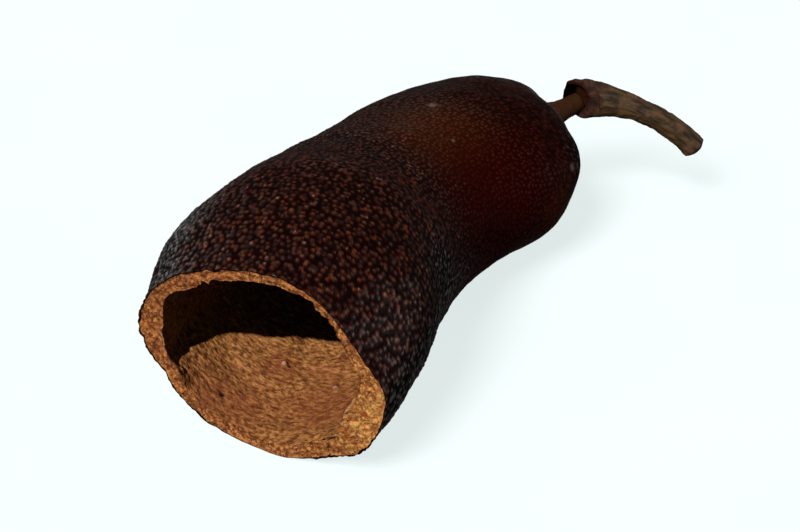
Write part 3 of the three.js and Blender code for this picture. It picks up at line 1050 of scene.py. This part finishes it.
def bark_look():
    look = Look("stalk_bark")
    along, upward, socket = (look.painted(name) for name in ("along", "upward", "socket"))
    streak = look.drawn_out(look.joined("along", "across", "upward"), BARK_STREAK)
    colour = look.blend(look.ramp(look.noise(0.9 * MM, 4, streak), 0.3, 0.7), *BARK)
    colour = look.over(colour, BARK_YELLOW, upward, 1.2 * MM, -1.5 * MM, 0.6)
    colour = look.over(colour, BARK_SHADE, look.noise(3.0 * MM), 0.48, 0.34, 0.45)
    colour = look.over(colour, BARK_PINK, look.noise(3.4 * MM), 0.56, 0.68, 0.6)
    knob = look.blend(look.ramp(look.noise(1.6 * MM, 3), 0.35, 0.65), *KNOB)
    stray = look.ramp(look.noise(2.5 * MM), 0.3, 0.7, 0, KNOB_EDGE_STRAY)
    colour = look.over(colour, knob, look.add("ShaderNodeMath", {0: along, 1: stray}), *KNOB_EDGE)
    # Painted shadow: brown, then black, in the cup and on the knob's left side
    colour = look.over(colour, CUP_SHADOW_BROWN, socket, 0, 0.3)
    colour = look.over(colour, CUP_SHADOW_BLACK, socket, 0.55, 0.9)
    return look.finish(
        Base_Color=colour,
        Roughness=0.75,
        Specular_IOR_Level=look.ramp(socket, 0, 0.3, 0.3, 0),
        Normal=look.bump(look.noise(0.6 * MM, 4, streak), 0.5 * MM),
    )


# The floor's and the world's colours, and the floor's size
FLOOR_PALE = (tint(237, 248, 247), tint(240, 250, 249))
WORLD_PALE = tint(246, 252, 252)
WORLD_STRENGTH = 0.05
FLOOR_RADIUS = 20
FLOOR_SIDES = 96


def floor_look():
    look = Look("pale_floor")
    colour = look.blend(look.noise(60 * MM), *FLOOR_PALE)
    return look.finish(Base_Color=colour, Roughness=0.9, Specular_IOR_Level=0.0)


rind = make_rind()
rind.data.materials.append(rind_look())

# The cork's faces: the first material on the cut face, the second on the hollow and the hidden back
cork = make_cork()
cork.data.materials.append(cork_look())
cork.data.materials.append(lining_look())
on_rim = np.zeros(len(cork.data.vertices), np.float32)
cork.data.attributes["rim"].data.foreach_get("value", on_rim)
for face in cork.data.polygons:
    face.material_index = int(max(on_rim[v] for v in face.vertices) < 0.5)

stalk = make_stalk()
stalk.data.materials.append(bark_look())

pieces = (rind, cork, stalk)
for piece, node in zip(pieces, ("pod", "pod", "stalk")):
    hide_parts(node)
    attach(piece, "root")

# The cork throws no light back, so that the hollow stays as dark as in the photograph
cork.visible_diffuse = False

# The floor, which is pale in the picture but throws no colour on the pod
bpy.ops.mesh.primitive_circle_add(vertices=FLOOR_SIDES, radius=FLOOR_RADIUS, fill_type="NGON")
floor = bpy.context.object
floor.name = "floor"
floor.data.materials.append(floor_look())
floor.visible_diffuse = False
floor.visible_glossy = False

# Where the light comes from: a key, a low sheen on the left, a soft fill on the right and a back light
KEY_FROM = np.array([-0.121, -0.684, 0.719])
SHEEN_FROM = np.array([-0.85, 0.5, 0.06])
FILL_FROM = np.array([0.88, 0.16, 0.24])
BACK_FROM = np.array([-0.3, 0.95, 0.06])


def lit(name, things):
    """A collection of the things that a light falls on."""
    group = bpy.data.collections.new(name)
    for thing in things:
        group.objects.link(thing)
    return group


def sun(name, way_from, lights, strength, degrees, shaded_by=None, glossy=True):
    """A sun of that breadth in degrees that lights one collection alone, and may be shaded by one alone."""
    lamp = bpy.data.objects.new(name, bpy.data.lights.new(name, "SUN"))
    lamp.data.energy = strength
    lamp.data.angle = math.radians(degrees)
    lamp.rotation_mode = "QUATERNION"
    lamp.rotation_quaternion = Vector(-np.asarray(way_from)).to_track_quat("-Z", "Y")
    lamp.visible_glossy = glossy
    lamp.light_linking.receiver_collection = lights
    if shaded_by:
        lamp.light_linking.blocker_collection = shaded_by
    bpy.context.collection.objects.link(lamp)


# The floor has a broad key of its own, for a faint shadow, and an even wash that the pod doesn't shade
on_pod, on_floor = lit("on_pod", pieces), lit("on_floor", [floor])
sun("key", KEY_FROM, on_pod, strength=2.9, degrees=1.2)
sun("sheen", SHEEN_FROM, on_pod, strength=0.12, degrees=10)
sun("fill", FILL_FROM, on_pod, strength=0.65, degrees=30)
sun("back", BACK_FROM, on_pod, strength=1.6, degrees=30, glossy=False)
sun("floor_key", KEY_FROM, on_floor, strength=1.0, degrees=24)
sun("floor_wash", UP, on_floor, strength=2.6, degrees=10, shaded_by=on_floor)

world = bpy.data.worlds.new("studio")
world.use_nodes = True
world.node_tree.nodes["Background"].inputs["Color"].default_value = WORLD_PALE
world.node_tree.nodes["Background"].inputs["Strength"].default_value = WORLD_STRENGTH
bpy.context.scene.world = world

# The camera, at the photograph's viewing angle
view_back = direction(math.pi - VIEW_AZIMUTH, VIEW_ELEVATION)
camera = bpy.data.objects.new("camera", bpy.data.cameras.new("camera"))
camera.data.lens = LENS
camera.data.sensor_width = SENSOR_WIDTH
camera.location = VIEW_TARGET + view_back * VIEW_DISTANCE
camera.rotation_mode = "QUATERNION"
camera.rotation_quaternion = Vector(-view_back).to_track_quat("-Z", "Y")
bpy.context.collection.objects.link(camera)
bpy.context.scene.camera = camera
bpy.context.scene.view_settings.view_transform = "Standard"
